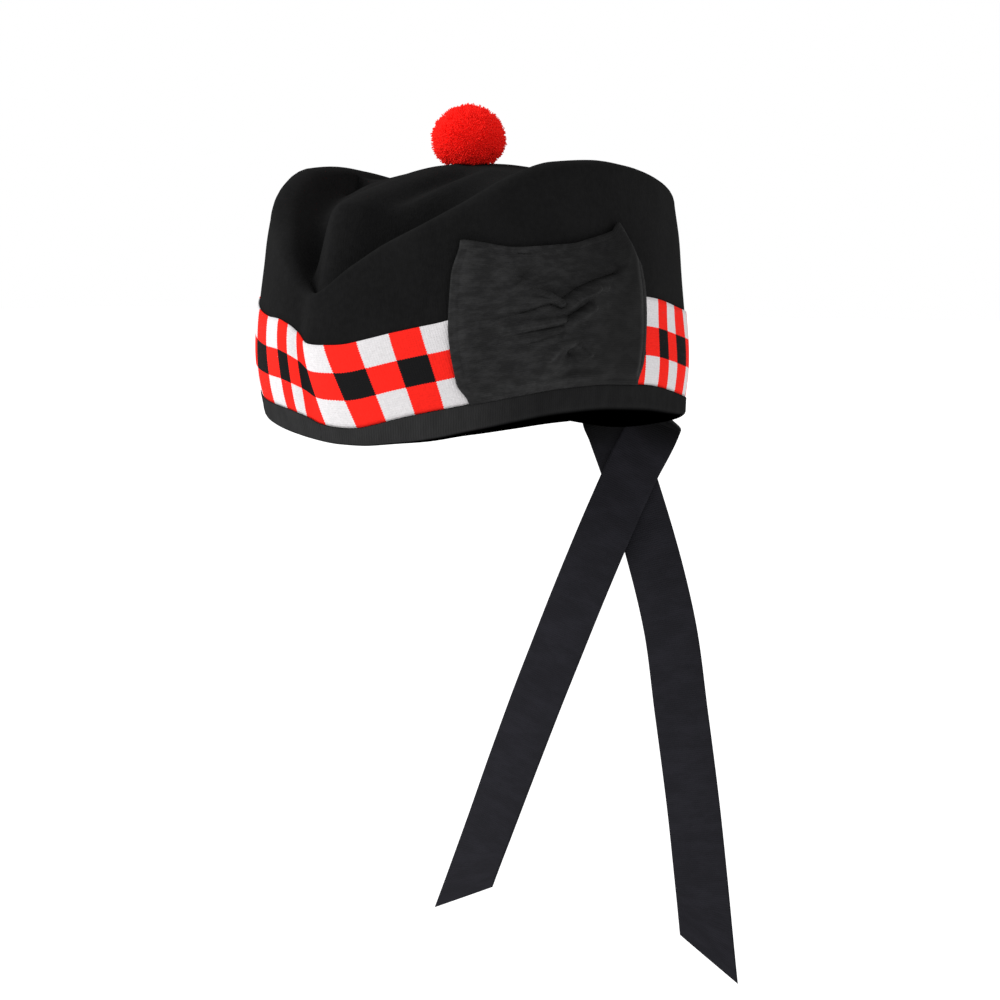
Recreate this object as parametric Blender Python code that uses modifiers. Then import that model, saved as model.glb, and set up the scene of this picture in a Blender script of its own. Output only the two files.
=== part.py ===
"""Glengarry cap with a diced band, a gathered cockade, a toorie and two ribbon tails.

The front of the cap looks along -Y, the wearer's left is +X and up is +Z. The origin lies in the
middle of the head opening, level with the lowest point of the front rim.
"""
import math
from collections import namedtuple

import bpy
import bmesh
from mathutils import Vector

# Head opening, measured outside the felt
RIM_WIDTH = 0.165
RIM_LENGTH = 0.212
RIM_ARCH = 0.0128
RIM_RIGHT_LIFT = 0.011

# Felt body
FELT = 0.0022
RIDGE_HEIGHT = 0.1175
MOUND_HEIGHT = 0.118
FOLD_RADIUS = 0.0055
RIGHT_FOLD = 1.7
WALL_BULGE = 0.002
PROW_FORWARD = 0.009
PROW_SIDE = 0.003
PROW_HEIGHT = 0.045
PROW_SPREAD = 24.0

# Ribbon binding of the rim and diced band above it
BINDING_REACH = 0.0095
BINDING_CLOTH = 0.0010
BAND_HEIGHT = 0.038
BAND_CLOTH = 0.0010
FRONT_BINDING = 0.60
FRONT_BAND = 0.90
FRONT_SPREAD = 18.0

# Cockade on the wearer's left
COCKADE_WIDTH = 0.095
COCKADE_HEIGHT = 0.067
COCKADE_CLOTH = 0.0012
COCKADE_ANGLE = 66.5
COCKADE_FOLD = 0.0045
COCKADE_FLAT_EDGE = 0.25

# Toorie
TOORIE_DIAMETER = 0.033
TOORIE_TUFT = 0.0016
TOORIE_TUFTS = 64
TOORIE_SINK = 0.0068
TOORIE_FORWARD = 0.0075

# Ribbon tails at the back
RIBBON_WIDTH = 0.0254
RIBBON_CLOTH = 0.0010
TAILS_TURN = 24.0
TAIL_TOP_INSET = 0.001
TAIL_BEND = 0.016
TAIL_LEFT_DROP = 0.240
TAIL_RIGHT_DROP = 0.266
TAIL_LEFT_SLANT = -0.75
TAIL_RIGHT_SLANT = 1.0
TAIL_END = 0.15

# Play between pieces that touch
GAP = 0.0003

# Mesh resolution
COLUMNS = 72
FRONT_DENSITY = 0.35
ROW_CLOSENESS = 1.4

# Sections round the cap, the same on both sides. Angle in degrees from the front. The rim is a
# share of RIM_ARCH, the ridge a share of RIDGE_HEIGHT, the fold a share of FOLD_RADIUS. Places on
# the crown are shares of the way from its middle to the ridge, heights shares of MOUND_HEIGHT.
Section = namedtuple("Section", "angle rim ridge fold groove_at groove shoulder_at shoulder")
SECTIONS = (
    Section(0, 0.10, 0.53, 0.50, 0.94, 0.51, 0.88, 0.82),
    Section(12, 0.10, 0.63, 0.70, 0.88, 0.54, 0.78, 0.83),
    Section(20, 0.12, 0.70, 0.85, 0.82, 0.60, 0.68, 0.84),
    Section(30, 0.17, 0.77, 1.00, 0.79, 0.68, 0.62, 0.86),
    Section(40, 0.30, 0.84, 1.00, 0.78, 0.76, 0.58, 0.89),
    Section(54, 0.60, 0.94, 1.00, 0.78, 0.83, 0.55, 0.92),
    Section(66, 0.86, 0.99, 1.00, 0.78, 0.87, 0.52, 0.94),
    Section(80, 1.00, 1.00, 1.00, 0.78, 0.88, 0.50, 0.95),
    Section(93, 0.98, 0.985, 1.00, 0.78, 0.87, 0.50, 0.95),
    Section(106, 0.84, 0.957, 1.00, 0.79, 0.85, 0.54, 0.94),
    Section(118, 0.71, 0.928, 1.00, 0.80, 0.83, 0.58, 0.93),
    Section(130, 0.58, 0.89, 1.00, 0.81, 0.80, 0.62, 0.92),
    Section(155, 0.15, 0.83, 0.80, 0.86, 0.76, 0.74, 0.90),
    Section(180, -0.16, 0.77, 0.60, 0.90, 0.74, 0.82, 0.87),
)

# Extra lift of the rim on the wearer's right, by signed angle, in RIM_RIGHT_LIFT
Lift = namedtuple("Lift", "angle share")
RIGHT_LIFTS = (
    Lift(-180, 0.0),
    Lift(-130, 0.1),
    Lift(-60, 1.0),
    Lift(-20, 0.45),
    Lift(15, 0.0),
    Lift(180, 0.0),
)

# Bulge of the wall, by height as a share of the way from rim to ridge, in WALL_BULGE
Bulge = namedtuple("Bulge", "height out")
BULGES = (
    Bulge(0.0, 0.0),
    Bulge(0.22, 0.8),
    Bulge(0.45, 0.4),
    Bulge(0.75, -1.0),
    Bulge(1.0, -2.2),
)

# Edges of the cockade by height, shares of its half width and half height
Edge = namedtuple("Edge", "up left right")
EDGES = (
    Edge(-1.0, -0.80, 0.86),
    Edge(-0.7, -0.94, 0.93),
    Edge(0.0, -1.00, 1.00),
    Edge(0.6, -0.97, 0.95),
    Edge(1.0, -0.90, 0.72),
)

# Rise of the cockade's top edge by place across, in COCKADE_HEIGHT
Top = namedtuple("Top", "across rise")
TOPS = (
    Top(-1.0, 0.035),
    Top(-0.88, 0.030),
    Top(-0.45, -0.005),
    Top(0.10, -0.020),
    Top(0.50, 0.030),
    Top(0.80, 0.100),
    Top(0.92, 0.120),
    Top(1.0, 0.080),
)

# Folds that run from the gathered middle, shares of the half width and half height; high in
# COCKADE_FOLD and wide in half widths
Fold = namedtuple("Fold", "x1 y1 x2 y2 high wide")
FOLDS = (
    Fold(-0.78, -0.12, 0.10, -0.02, 0.8, 0.10),
    Fold(-0.50, 0.66, 0.10, 0.20, 0.9, 0.13),
    Fold(0.16, 0.15, 0.74, 0.56, 0.9, 0.13),
    Fold(0.18, -0.06, 0.62, 0.22, 0.7, 0.12),
    Fold(0.12, -0.36, -0.24, -0.72, 0.8, 0.13),
    Fold(0.20, -0.36, 0.44, -0.62, 0.7, 0.12),
)

# Middle lines of the tails, down as a share of the tail's drop. Side is a share of RIM_WIDTH along
# the tails' plane, lift a share of RIBBON_WIDTH towards the front, turn the ribbon's own turn in
# degrees.
Route = namedtuple("Route", "down side lift turn")
TAIL_LEFT = (
    Route(0.00, 0.125, 0.00, 24.0),
    Route(0.105, 0.045, 0.06, 24.0),
    Route(0.53, -0.195, 0.05, 18.0),
    Route(1.00, -0.450, 0.06, 4.0),
)
TAIL_RIGHT = (
    Route(0.00, -0.012, -0.08, 24.0),
    Route(0.10, 0.045, -0.07, 24.0),
    Route(0.40, 0.160, -0.07, 24.0),
    Route(0.55, 0.195, -0.03, 28.0),
    Route(0.73, 0.234, -0.02, 26.0),
    Route(1.00, 0.280, -0.05, 26.0),
)

half_width = RIM_WIDTH / 2
half_length = RIM_LENGTH / 2


def smooth(share):
    """Ease from 0 to 1."""
    share = min(max(share, 0.0), 1.0)
    return share * share * (3.0 - 2.0 * share)


def through(points, place, straight=False):
    """Height at a place on a smooth curve through (place, height) points that never overshoots.

    The curve is flat at its ends, or runs straight out of the last one where straight is set.
    """
    points = sorted(points)
    places = [point[0] for point in points]
    heights = [point[1] for point in points]
    last = len(points) - 1
    slopes = [(heights[i + 1] - heights[i]) / (places[i + 1] - places[i]) for i in range(last)]
    tangents = [0.0]
    for before, after in zip(slopes, slopes[1:]):
        same_way = before * after > 0.0
        tangents.append(2.0 * before * after / (before + after) if same_way else 0.0)
    tangents.append(slopes[-1] if straight else 0.0)
    place = min(max(place, places[0]), places[last])
    i = 0
    while i < last - 1 and place > places[i + 1]:
        i += 1
    run = places[i + 1] - places[i]
    s = (place - places[i]) / run
    return (
        heights[i] * (1 + 2 * s) * (1 - s) ** 2
        + tangents[i] * run * s * (1 - s) ** 2
        + heights[i + 1] * s * s * (3 - 2 * s)
        - tangents[i + 1] * run * s * s * (1 - s)
    )


def read(table, key, column, place, straight=False):
    """Value of a table's column at a place between its rows."""
    return through([(getattr(row, key), getattr(row, column)) for row in table], place, straight)


def signed(angle):
    """Angle between -180 and 180 degrees, positive on the wearer's left."""
    return (angle + 180.0) % 360.0 - 180.0


def section(angle, column):
    """Value of a section column at an angle in degrees, the same on both sides."""
    return read(SECTIONS, "angle", column, abs(signed(angle)))


def plan_normal(angle):
    """Outward direction of the rim ellipse at an angle."""
    turn = math.radians(angle)
    return Vector((math.sin(turn) / half_width, -math.cos(turn) / half_length, 0.0)).normalized()


def rim_height(angle):
    lift = RIM_RIGHT_LIFT * read(RIGHT_LIFTS, "angle", "share", signed(angle))
    return RIM_ARCH * section(angle, "rim") + lift


def fold_radius(angle):
    """Radius of the ridge, wider on the wearer's right."""
    right = max(-math.sin(math.radians(angle)), 0.0)
    return FOLD_RADIUS * section(angle, "fold") * (1.0 + (RIGHT_FOLD - 1.0) * right)


def ridge_height(angle):
    return RIDGE_HEIGHT * section(angle, "ridge")


def front_share(angle, spread):
    """How much an angle belongs to the front, from 1 there to 0 round the sides."""
    return math.exp(-((abs(signed(angle)) / spread) ** 1.5))


def binding_top(angle):
    """Height of the binding's upper edge above the rim line, lower at the front."""
    return BINDING_REACH * (1.0 - (1.0 - FRONT_BINDING) * front_share(angle, FRONT_SPREAD))


def band_line(angle, share):
    """Height above the rim line at a share of the diced band, from its foot to its top."""
    height = BAND_HEIGHT * (1.0 - (1.0 - FRONT_BAND) * front_share(angle, FRONT_SPREAD))
    return binding_top(angle) + GAP + share * height


def wall_point(angle, up, out=0.0):
    """Point of the felt's outer wall, up from the rim line and out from the felt."""
    turn = math.radians(angle)
    foot = rim_height(angle)
    share = up / (ridge_height(angle) - foot)
    swell = WALL_BULGE * read(BULGES, "height", "out", share)
    point = Vector((half_width * math.sin(turn), -half_length * math.cos(turn), foot + up))
    point += plan_normal(angle) * (swell + out)
    prow = front_share(angle, PROW_SPREAD) * smooth(up / PROW_HEIGHT)
    return point + Vector((-PROW_SIDE, -PROW_FORWARD, 0.0)) * prow


def column_angles():
    """Angles of the mesh columns, closer together at the front."""
    turns = [2 * math.pi * i / COLUMNS for i in range(COLUMNS)]
    return [math.degrees(turn - FRONT_DENSITY * math.sin(turn)) for turn in turns]


def crown_rows(angle):
    """Points of one column from the ridge's outer shoulder to the mound, without its middle."""
    fold = fold_radius(angle)
    ridge = ridge_height(angle)
    edge = wall_point(angle, ridge - fold - rim_height(angle))
    reach = math.hypot(edge.x, edge.y)
    rows = [(1.0 - fold * (1 - math.cos(math.radians(a))) / reach,
             ridge - fold + fold * math.sin(math.radians(a))) for a in (0, 45, 90, 135)]
    inner = 1.0 - 2 * fold / reach
    groove_at = section(angle, "groove_at")
    shoulder_at = section(angle, "shoulder_at")
    curve = [
        (inner, ridge - fold),
        (groove_at, MOUND_HEIGHT * section(angle, "groove")),
        (shoulder_at, MOUND_HEIGHT * section(angle, "shoulder")),
        (0.0, MOUND_HEIGHT),
    ]
    places = [
        inner,
        (inner + groove_at) / 2,
        groove_at,
        0.6 * groove_at + 0.4 * shoulder_at,
        0.3 * groove_at + 0.7 * shoulder_at,
        shoulder_at,
        0.7 * shoulder_at,
        0.4 * shoulder_at,
        0.15 * shoulder_at,
    ]
    rows += [(place, through(curve, place)) for place in places]
    return [Vector((edge.x * share, edge.y * share, height)) for share, height in rows]


def grid_mesh(name, rows, ring, tip=None):
    """Mesh over rows of points, closed round in columns, with a fan to a tip on the last row."""
    bm = bmesh.new()
    verts = [[bm.verts.new(point) for point in row] for row in rows]
    width = len(rows[0])
    spans = range(width if ring else width - 1)
    for low, high in zip(verts, verts[1:]):
        for c in spans:
            n = (c + 1) % width
            bm.faces.new((low[c], low[n], high[n], high[c]))
    if tip is not None:
        top = bm.verts.new(tip)
        for c in spans:
            bm.faces.new((verts[-1][c], verts[-1][(c + 1) % width], top))
    mesh = bpy.data.meshes.new(name)
    bm.to_mesh(mesh)
    bm.free()
    mesh.shade_smooth()
    return mesh


def material(name, colour, roughness):
    """Plain cloth material."""
    mat = bpy.data.materials.new(name)
    mat.use_nodes = True
    shader = mat.node_tree.nodes["Principled BSDF"]
    shader.inputs["Base Color"].default_value = (*colour, 1.0)
    shader.inputs["Roughness"].default_value = roughness
    shader.inputs["Metallic"].default_value = 0.0
    return mat


def add_piece(collection, name, mesh, mat, thickness=0.0, offset=0.0):
    """Object for one piece; a sheet gets its thickness from Solidify."""
    mesh.materials.append(mat)
    piece = bpy.data.objects.new(name, mesh)
    collection.objects.link(piece)
    if thickness:
        shell = piece.modifiers.new("Cloth", 'SOLIDIFY')
        shell.thickness = thickness
        shell.offset = offset
        shell.use_rim = True
    return piece


def make_body(collection):
    """Felt wall with its ridges, grooves and mound, hollow and open below."""
    angles = column_angles()
    rows = [[wall_point(angle, 0.0) for angle in angles]]
    rows.append([wall_point(angle, binding_top(angle)) for angle in angles])
    for share in (0.5, 1.0):
        rows.append([wall_point(angle, band_line(angle, share)) for angle in angles])
    for share in (0.35, 0.7):
        row = []
        for angle in angles:
            top = ridge_height(angle) - fold_radius(angle) - rim_height(angle)
            low = band_line(angle, 1.0)
            row.append(wall_point(angle, low + share * (top - low)))
        rows.append(row)
    crown = [crown_rows(angle) for angle in angles]
    rows += [list(row) for row in zip(*crown)]
    mesh = grid_mesh("crown_body", rows, True, Vector((0.0, 0.0, MOUND_HEIGHT)))
    felt = material("wool felt", (0.010, 0.010, 0.011), 0.95)
    add_piece(collection, "crown_body", mesh, felt, FELT, -1.0)


def make_band(collection):
    """Diced band on the outside of the wall, above the binding."""
    angles = column_angles()
    rows = []
    for share in (0.0, 0.5, 1.0):
        rows.append([wall_point(angle, band_line(angle, share), GAP) for angle in angles])
    mesh = grid_mesh("dice_band", rows, True)
    checks = material("diced wool", (0.72, 0.16, 0.14), 0.9)
    add_piece(collection, "dice_band", mesh, checks, BAND_CLOTH, 1.0)


def make_binding(collection):
    """Ribbon folded round the rim edge, outside and inside."""
    angles = column_angles()
    inside = -(FELT + GAP)
    rows = []
    for share, out in ((1.0, inside), (0.0, inside), (0.0, GAP), (1.0, GAP)):
        row = []
        for angle in angles:
            up = share * binding_top(angle) - (1.0 - share) * GAP
            row.append(wall_point(angle, up, out))
        rows.append(row)
    mesh = grid_mesh("rim_binding", rows, True)
    ribbon = material("binding ribbon", (0.017, 0.017, 0.018), 0.75)
    add_piece(collection, "rim_binding", mesh, ribbon, BINDING_CLOTH, 1.0)


def arc_angle(start, distance):
    """Angle reached from a start angle after a distance along the rim ellipse."""
    steps = 40
    angle = start
    for _ in range(steps):
        turn = math.radians(angle)
        pace = math.hypot(half_width * math.cos(turn), half_length * math.sin(turn))
        angle += math.degrees(distance / steps / pace)
    return angle


def fold_relief(x, y):
    """Height of the cockade's folds at a place, in COCKADE_FOLD."""
    relief = 0.0
    for fold in FOLDS:
        run = Vector((fold.x2 - fold.x1, fold.y2 - fold.y1))
        to = Vector((x - fold.x1, y - fold.y1))
        share = min(max(to.dot(run) / run.length_squared, 0.0), 1.0)
        away = (to - run * share).length
        relief = max(relief, fold.high * math.exp(-((away / fold.wide) ** 2)))
    return relief


def make_cockade(collection):
    """Silk panel gathered at its middle, on the wall over the diced band."""
    count_x, count_y = 20, 14
    lift = BAND_CLOTH + 2 * GAP
    rows = []
    for j in range(count_y + 1):
        y = -1.0 + 2.0 * j / count_y
        row = []
        left = read(EDGES, "up", "left", y)
        right = read(EDGES, "up", "right", y)
        for i in range(count_x + 1):
            x = left + (right - left) * i / count_x
            angle = arc_angle(COCKADE_ANGLE, x * COCKADE_WIDTH / 2)
            near_edge = min(1.0 - abs(2.0 * i / count_x - 1.0), 1.0 - abs(y))
            relief = fold_relief(x, y) * smooth(near_edge / COCKADE_FLAT_EDGE)
            rise = read(TOPS, "across", "rise", 2.0 * i / count_x - 1.0) * smooth(y)
            up = band_line(angle, 0.0) + COCKADE_HEIGHT * ((y + 1.0) / 2 + rise)
            row.append(wall_point(angle, up, lift + COCKADE_FOLD * relief))
        rows.append(row)
    mesh = grid_mesh("cockade", rows, False)
    silk = material("ribbed silk", (0.016, 0.016, 0.017), 0.6)
    add_piece(collection, "cockade", mesh, silk, COCKADE_CLOTH, 1.0)


def make_toorie(collection):
    """Wool ball of fused tufts with a flattened foot on the mound."""
    bm = bmesh.new()
    radius = TOORIE_DIAMETER / 2
    bmesh.ops.create_icosphere(bm, subdivisions=4, radius=1.0)
    golden = math.pi * (3.0 - math.sqrt(5.0))
    tufts = []
    for i in range(TOORIE_TUFTS):
        height = 1.0 - (2 * i + 1) / TOORIE_TUFTS
        ring = math.sqrt(1.0 - height * height)
        tufts.append(Vector((ring * math.cos(golden * i), ring * math.sin(golden * i), height)))
    spread = math.sqrt(4.0 / TOORIE_TUFTS)
    centre = MOUND_HEIGHT + GAP + radius - TOORIE_SINK
    for vert in bm.verts:
        way = vert.co.normalized()
        away = min((way - tuft).length for tuft in tufts) / spread
        size = radius - TOORIE_TUFT * min(away * away, 1.0)
        vert.co = way * size
        vert.co.z = max(vert.co.z, TOORIE_SINK - radius) + centre
        vert.co.y -= TOORIE_FORWARD
    mesh = bpy.data.meshes.new("toorie")
    bm.to_mesh(mesh)
    bm.free()
    mesh.shade_smooth()
    wool = material("toorie wool", (0.80, 0.020, 0.016), 0.9)
    add_piece(collection, "toorie", mesh, wool)


def seat_point(side, height, away=0.0):
    """Point on the outside of the binding at the back, a distance left of the back seam."""
    angle = arc_angle(180.0, -side)
    out = GAP + BINDING_CLOTH + GAP + RIBBON_CLOTH / 2 + away
    return wall_point(angle, height - rim_height(angle), out)


def make_tail(collection, name, route, drop, slant, mat):
    """Ribbon tail that lies on the back of the binding and hangs into its free plane."""
    turn = math.radians(TAILS_TURN)
    plane = Vector((math.cos(turn), math.sin(turn), 0.0))
    front = Vector((math.sin(turn), -math.cos(turn), 0.0))
    hang = seat_point(0.0, 0.0)
    top = rim_height(180.0) + BINDING_REACH - TAIL_TOP_INSET
    step = 0.01
    count, across = 26, 4
    rows = []
    for j in range(count + 1):
        down = (j / count) ** ROW_CLOSENESS
        low, high = max(down - step, 0.0), min(down + step, 1.0)
        side = read(route, "down", "side", down, True) * RIM_WIDTH
        ahead = read(route, "down", "side", high, True)
        run = (ahead - read(route, "down", "side", low, True)) * RIM_WIDTH
        lean = Vector((run, (high - low) * drop)).normalized()
        lift = read(route, "down", "lift", down) * RIBBON_WIDTH
        own = math.radians(read(route, "down", "turn", down))
        free = smooth(down * drop / TAIL_BEND)
        across_way = Vector((math.cos(own), math.sin(own), 0.0))
        row = []
        for i in range(across + 1):
            v = (i / across - 0.5) * RIBBON_WIDTH
            end = slant * v * smooth((down - 1.0 + TAIL_END) / TAIL_END)
            height = top - down * drop + v * lean.x - end * lean.y
            loose = hang + plane * (side + end * lean.x) + across_way * (v * lean.y) + front * lift
            loose.z = height
            seated = seat_point(side + v * lean.y, height, max(-lift, 0.0))
            row.append(seated.lerp(loose, free))
        rows.append(row)
    rows.reverse()
    mesh = grid_mesh(name, rows, False)
    add_piece(collection, name, mesh, mat, RIBBON_CLOTH, 0.0)


def main():
    for item in list(bpy.data.objects):
        bpy.data.objects.remove(item)
    collection = bpy.data.collections.new("glengarry cap")
    bpy.context.scene.collection.children.link(collection)
    make_body(collection)
    make_band(collection)
    make_binding(collection)
    make_cockade(collection)
    make_toorie(collection)
    ribbon = material("tail ribbon", (0.014, 0.014, 0.018), 0.7)
    left, right = "ribbon_tail_left", "ribbon_tail_right"
    make_tail(collection, left, TAIL_LEFT, TAIL_LEFT_DROP, TAIL_LEFT_SLANT, ribbon)
    make_tail(collection, right, TAIL_RIGHT, TAIL_RIGHT_DROP, TAIL_RIGHT_SLANT, ribbon)


main()
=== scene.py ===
"""Dresses a glengarry cap in felt, knitted dicing, ribbed ribbon, gathered silk and wool.

The front of the cap looks along -Y, the wearer's left is +X and up is +Z. The origin lies in the
middle of the head opening, level with the lowest point of the front rim.
"""

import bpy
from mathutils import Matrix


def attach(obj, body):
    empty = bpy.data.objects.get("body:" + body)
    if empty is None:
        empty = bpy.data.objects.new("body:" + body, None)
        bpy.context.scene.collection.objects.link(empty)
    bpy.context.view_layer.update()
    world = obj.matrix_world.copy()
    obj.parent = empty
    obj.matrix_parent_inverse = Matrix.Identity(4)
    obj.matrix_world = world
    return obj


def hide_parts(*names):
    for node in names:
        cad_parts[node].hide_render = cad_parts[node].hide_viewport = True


bl_info = {
    "name": "Glengarry Cap",
    "version": (1, 0, 0),
    "blender": (4, 5, 0),
    "location": "3D View > Sidebar > Glengarry",
    "description": "Builds a felt glengarry with diced band, cockade, toorie and ribbon tails",
    "category": "Object",
}

import random
from collections import namedtuple
from functools import lru_cache
from math import atan2, cos, degrees, exp, floor, hypot, pi, radians, sin, sqrt

import bmesh
import bpy
from bpy.props import FloatProperty, FloatVectorProperty, IntProperty, PointerProperty
from mathutils import Matrix, Vector, noise

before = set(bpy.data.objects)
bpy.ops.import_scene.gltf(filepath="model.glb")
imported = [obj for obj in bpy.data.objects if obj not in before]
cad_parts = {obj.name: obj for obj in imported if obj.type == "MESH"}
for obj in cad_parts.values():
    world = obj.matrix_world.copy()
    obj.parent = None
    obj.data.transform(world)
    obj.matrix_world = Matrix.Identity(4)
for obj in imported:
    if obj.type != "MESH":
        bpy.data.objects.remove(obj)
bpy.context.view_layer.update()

# Head opening, in metres
RIM_WIDTH = 0.165
RIM_LENGTH = 0.212
RIM_ARCH = 0.0128
RIM_RIGHT_LIFT = 0.011

# Felt body
FELT = 0.0022
RIDGE_HEIGHT = 0.1175
MOUND_HEIGHT = 0.118
FOLD_RADIUS = 0.0055
RIGHT_FOLD = 1.7
WALL_BULGE = 0.002
WALL_END = 0.36
FOLD_END = 0.46
FOLD_SWEEP = 150.0
SOFT_FROM = 0.47
SOFT_ROUNDS = 14

# Extra bulge of the wall at the right front, about an angle; it peaks at half height
FLANK_BULGE = 0.002
FLANK_ANGLE = -38.0
FLANK_SPREAD = 22.0
FLANK_RISE = 0.85

# Push of the wall forward and to the right at the front
PROW_FORWARD = 0.009
PROW_SIDE = 0.003
PROW_HEIGHT = 0.045
PROW_SPREAD = 24.0

# Crease down the front; its angle moves by KEEL_LEAN from the band's top to its foot
KEEL_ANGLE = -4.5
KEEL_WIDE = 4.0
KEEL_LEAN = 3.5
KEEL_DEEP = 0.0022
KEEL_FADE = 0.018

# Ribbon binding of the rim and diced band above it
BINDING_REACH = 0.0095
BINDING_CLOTH = 0.0010
BAND_HEIGHT = 0.038
BAND_CLOTH = 0.0006
BAND_ROWS = 3.0
CHECKS = 50
BINDING_INSIDE = 0.4
BINDING_OUTSIDE = 0.6

# Cockade on the wearer's left; its seat lies over the diced band
COCKADE_WIDTH = 0.095
COCKADE_HEIGHT = 0.067
COCKADE_CLOTH = 0.0008
COCKADE_ANGLE = 66.5
COCKADE_SEAT = 0.0010
FOLD_STRENGTH = 1.5
PINCH_AT = -0.07

# Toorie
TOORIE_DIAMETER = 0.033
TOORIE_SINK = 0.0068
TOORIE_FORWARD = 0.0075
TOORIE_CORE = 0.84
LOCK_BATCH = 60

# Ribbon tails at the back
RIBBON_WIDTH = 0.0254
RIBBON_CLOTH = 0.0008
TAILS_TURN = 24.0
TAIL_TOP_INSET = 0.001
TAIL_BEND = 0.0075
TAIL_END = 0.15

# Play between pieces that touch, and columns closer together at the front
GAP = 0.0003
FRONT_DENSITY = 0.35

# Camera and stage
AZIMUTH = radians(37.0)
ELEVATION = radians(4.0)
DISTANCE = 1.14
FLOOR_HEIGHT = -0.85

HALF_WIDTH = RIM_WIDTH / 2
HALF_LENGTH = RIM_LENGTH / 2

# Sections round the cap, the same on both sides, by angle from the front. The rim is a share of
# RIM_ARCH, the ridge a share of RIDGE_HEIGHT, the fold a share of FOLD_RADIUS. Places on the crown
# are shares of the way from its middle to the ridge, heights shares of MOUND_HEIGHT.
Section = namedtuple("Section", "angle rim ridge fold groove_at groove shoulder_at shoulder")
SECTIONS = (
    Section(0, 0.10, 0.53, 0.50, 0.94, 0.51, 0.88, 0.82),
    Section(12, 0.10, 0.63, 0.70, 0.88, 0.54, 0.78, 0.83),
    Section(20, 0.12, 0.70, 0.85, 0.82, 0.60, 0.68, 0.84),
    Section(30, 0.17, 0.77, 1.00, 0.79, 0.68, 0.62, 0.86),
    Section(40, 0.30, 0.84, 1.00, 0.78, 0.76, 0.58, 0.89),
    Section(54, 0.60, 0.94, 1.00, 0.78, 0.83, 0.55, 0.92),
    Section(66, 0.86, 0.99, 1.00, 0.78, 0.87, 0.52, 0.94),
    Section(80, 1.00, 1.00, 1.00, 0.78, 0.88, 0.50, 0.95),
    Section(93, 0.98, 0.985, 1.00, 0.78, 0.87, 0.50, 0.95),
    Section(106, 0.84, 0.957, 1.00, 0.79, 0.85, 0.54, 0.94),
    Section(118, 0.71, 0.928, 1.00, 0.80, 0.83, 0.58, 0.93),
    Section(130, 0.58, 0.89, 1.00, 0.81, 0.80, 0.62, 0.92),
    Section(155, 0.15, 0.83, 0.80, 0.86, 0.76, 0.74, 0.90),
    Section(180, -0.16, 0.77, 0.60, 0.90, 0.74, 0.82, 0.87),
)

# Extra lift of the rim by signed angle, in RIM_RIGHT_LIFT
Lift = namedtuple("Lift", "angle share")
LIFTS = (
    Lift(-180, 0.0),
    Lift(-130, 0.1),
    Lift(-75, 0.84),
    Lift(-46, 0.86),
    Lift(-35, 0.74),
    Lift(-20, 0.54),
    Lift(-12, 0.41),
    Lift(-5, 0.27),
    Lift(5, 0.11),
    Lift(13, 0.08),
    Lift(23, 0.17),
    Lift(33, 0.29),
    Lift(43, 0.41),
    Lift(56, 0.44),
    Lift(66, 0.39),
    Lift(80, 0.29),
    Lift(100, 0.14),
    Lift(118, 0.04),
    Lift(180, 0.0),
)

# Heights of the binding and of the diced band by signed angle, in BINDING_REACH and BAND_HEIGHT
Strip = namedtuple("Strip", "angle binding band")
STRIPS = (
    Strip(-180, 1.0, 1.0),
    Strip(-125, 1.0, 1.0),
    Strip(-105, 1.0, 0.93),
    Strip(-88, 0.97, 0.93),
    Strip(-70, 0.9, 0.95),
    Strip(-46, 0.73, 0.985),
    Strip(-21, 0.85, 0.955),
    Strip(-13.3, 0.88, 0.97),
    Strip(-8.5, 0.85, 0.95),
    Strip(-5, 0.78, 0.91),
    Strip(0, 0.60, 0.865),
    Strip(9.1, 0.56, 0.885),
    Strip(17.7, 0.73, 0.90),
    Strip(25.3, 0.90, 0.905),
    Strip(32.7, 0.98, 0.91),
    Strip(42, 0.95, 0.94),
    Strip(60, 0.88, 0.97),
    Strip(98, 0.85, 0.98),
    Strip(118, 0.69, 0.99),
    Strip(134, 0.62, 1.0),
    Strip(155, 1.0, 1.0),
    Strip(180, 1.0, 1.0),
)

# Drop below the rim of the binding's inner side, which is painted black as shade, by signed angle,
# in metres
Droop = namedtuple("Droop", "angle down")
DROOPS = (
    Droop(-180, 0.0),
    Droop(15, 0.0),
    Droop(33, 0.0017),
    Droop(69, 0.0053),
    Droop(95, 0.0053),
    Droop(125, 0.0012),
    Droop(150, 0.0),
    Droop(180, 0.0),
)

# Bulge of the wall, by height as a share of the way from rim to ridge, in WALL_BULGE
Bulge = namedtuple("Bulge", "height out")
BULGES = (
    Bulge(0.0, 0.0),
    Bulge(0.22, 0.8),
    Bulge(0.45, 0.4),
    Bulge(0.75, -1.0),
    Bulge(1.0, -2.2),
)

# Edges of the cockade by height, shares of its half width and half height
Edge = namedtuple("Edge", "up left right")
EDGES = (
    Edge(-1.0, -0.91, 0.86),
    Edge(-0.7, -1.01, 0.93),
    Edge(0.0, -1.06, 1.00),
    Edge(0.6, -1.03, 0.95),
    Edge(1.0, -0.95, 0.78),
)

# Rise of the cockade's top edge by place across, in COCKADE_HEIGHT
Top = namedtuple("Top", "across rise")
TOPS = (
    Top(-1.0, 0.050),
    Top(-0.88, 0.034),
    Top(-0.44, -0.042),
    Top(0.19, -0.071),
    Top(0.39, -0.055),
    Top(0.73, -0.013),
    Top(0.84, 0.041),
    Top(0.91, 0.005),
    Top(1.0, -0.060),
)

# Pleats of the crown on the wearer's left, seen from above, in metres
Fold = namedtuple("Fold", "x1 y1 x2 y2 high wide")
PLEATS = (
    Fold(0.0130, -0.026, 0.0115, -0.086, -0.0030, 0.0038),
    Fold(0.0225, -0.022, 0.0190, -0.078, 0.0018, 0.0050),
    Fold(0.0330, -0.040, 0.0240, -0.074, -0.0016, 0.0045),
)

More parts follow.
